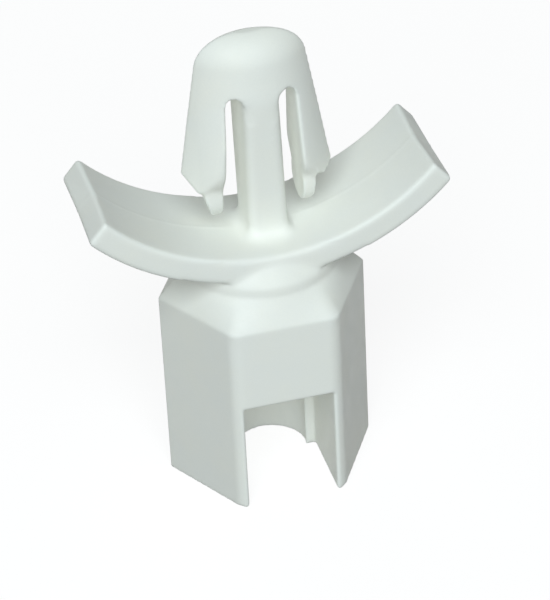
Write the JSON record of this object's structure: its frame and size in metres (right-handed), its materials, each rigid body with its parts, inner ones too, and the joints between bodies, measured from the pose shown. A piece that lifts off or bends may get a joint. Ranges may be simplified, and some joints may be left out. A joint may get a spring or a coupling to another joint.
{
  "type": "snap-in hexagonal panel support",
  "caption": "Push-in moulded support: hexagonal body with a screw bore, round collar, bowed spring wings, flat stem and snap nose with flexing barbs.",
  "frame": {"origin": "centre of the hexagonal body's bottom face", "axes": "+Z along the axis towards the nose, the wings and barbs lie along X, and the notch in the hexagonal body opens to -Y"},
  "size_m": [0.0136, 0.007, 0.0188],
  "materials": {
    "nylon": "natural moulded nylon, satin, slightly translucent"
  },
  "bodies": {
    "support": {"hex_body": "nylon", "collar": "nylon", "wing_hub": "nylon", "stem": "nylon", "nose": "nylon"},
    "left_wing": {"wing_left": "nylon"},
    "right_wing": {"wing_right": "nylon"},
    "left_barb": {"barb_left": "nylon"},
    "right_barb": {"barb_right": "nylon"}
  },
  "joints": [
    {"name": "wing_left_flex", "type": "hinge", "parent": "support", "child": "left_wing", "pos_m": [-0.00326, 0, 0.01062], "axis": [0, -1, 0], "range_deg": [0, 36], "stiffness_Nm_per_rad": 0.28},
    {"name": "wing_right_flex", "type": "hinge", "parent": "support", "child": "right_wing", "pos_m": [0.00326, 0, 0.01062], "axis": [0, 1, 0], "range_deg": [0, 36], "stiffness_Nm_per_rad": 0.28},
    {"name": "barb_left_flex", "type": "hinge", "parent": "support", "child": "left_barb", "pos_m": [-0.00184, 0, 0.01582], "axis": [0, -1, 0], "range_deg": [0, 9], "stiffness_Nm_per_rad": 0.15},
    {"name": "barb_right_flex", "type": "hinge", "parent": "support", "child": "right_barb", "pos_m": [0.00184, 0, 0.01582], "axis": [0, 1, 0], "range_deg": [0, 9], "stiffness_Nm_per_rad": 0.15}
  ]
}
